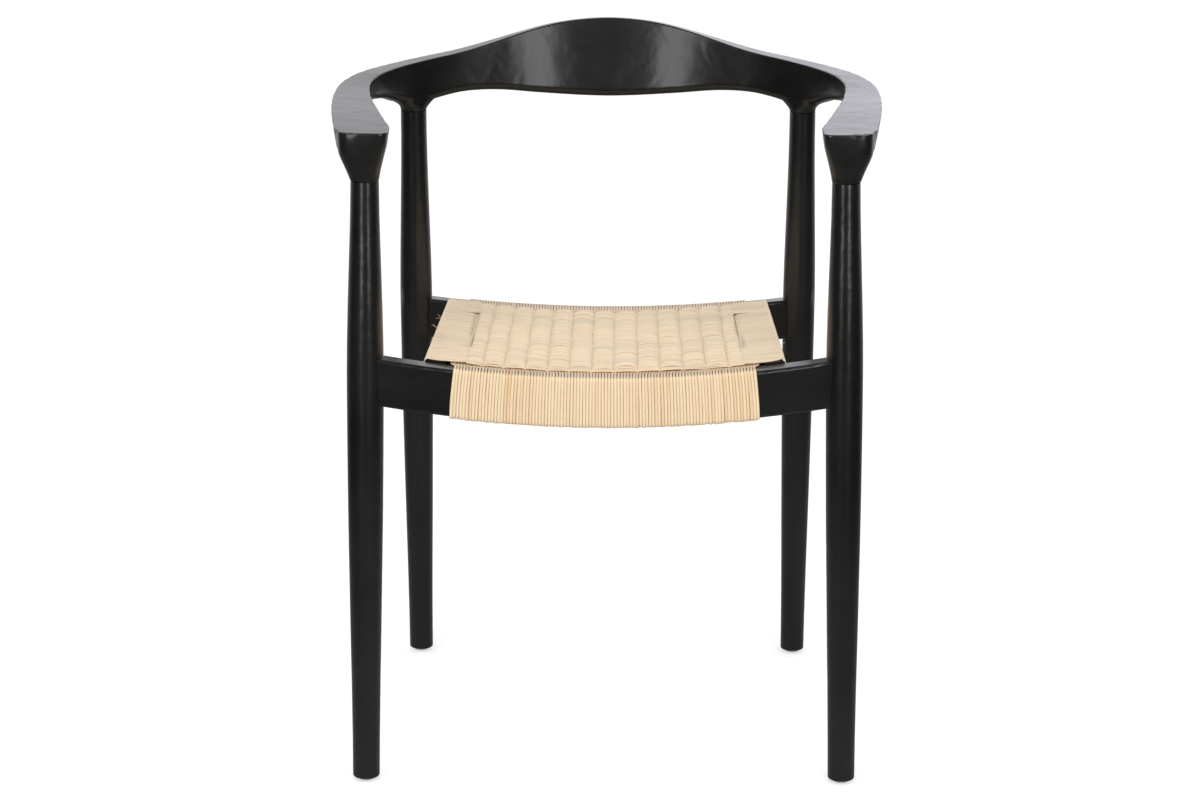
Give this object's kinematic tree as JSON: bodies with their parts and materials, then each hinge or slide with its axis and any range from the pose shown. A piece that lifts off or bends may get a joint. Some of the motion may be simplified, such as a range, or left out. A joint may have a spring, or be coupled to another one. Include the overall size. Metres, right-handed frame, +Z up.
{
  "type": "armchair",
  "caption": "Black lacquered wooden armchair with a curved hoop of arms and back rest on turned legs, and a woven cane seat.",
  "frame": {"origin": "on the floor, at the middle of the box round the chair", "axes": "+X to the right as seen from in front, +Y to the back rest, +Z up"},
  "size_m": [0.597, 0.4937, 0.76],
  "materials": {
    "black_lacquer": "satin black lacquer on close-grained wood",
    "cane": "natural split cane, pale and slightly glossy",
    "glide_plastic": "pale translucent plastic",
    "steel": "plain nail wire"
  },
  "bodies": {
    "root": {"arm_right": "black_lacquer", "arm_left": "black_lacquer", "back_rest": "black_lacquer", "front_leg_right": "black_lacquer", "front_leg_left": "black_lacquer", "rear_leg_right": "black_lacquer", "rear_leg_left": "black_lacquer", "front_rail": "black_lacquer", "rear_rail": "black_lacquer", "side_rail_right": "black_lacquer", "side_rail_left": "black_lacquer", "seat_warp": "cane", "seat_weft": "cane", "glide_front_right": "glide_plastic", "glide_front_left": "glide_plastic", "glide_rear_right": "glide_plastic", "glide_rear_left": "glide_plastic", "glide_nails": "steel", "cane_tacks": "steel"}
  },
  "joints": []
}
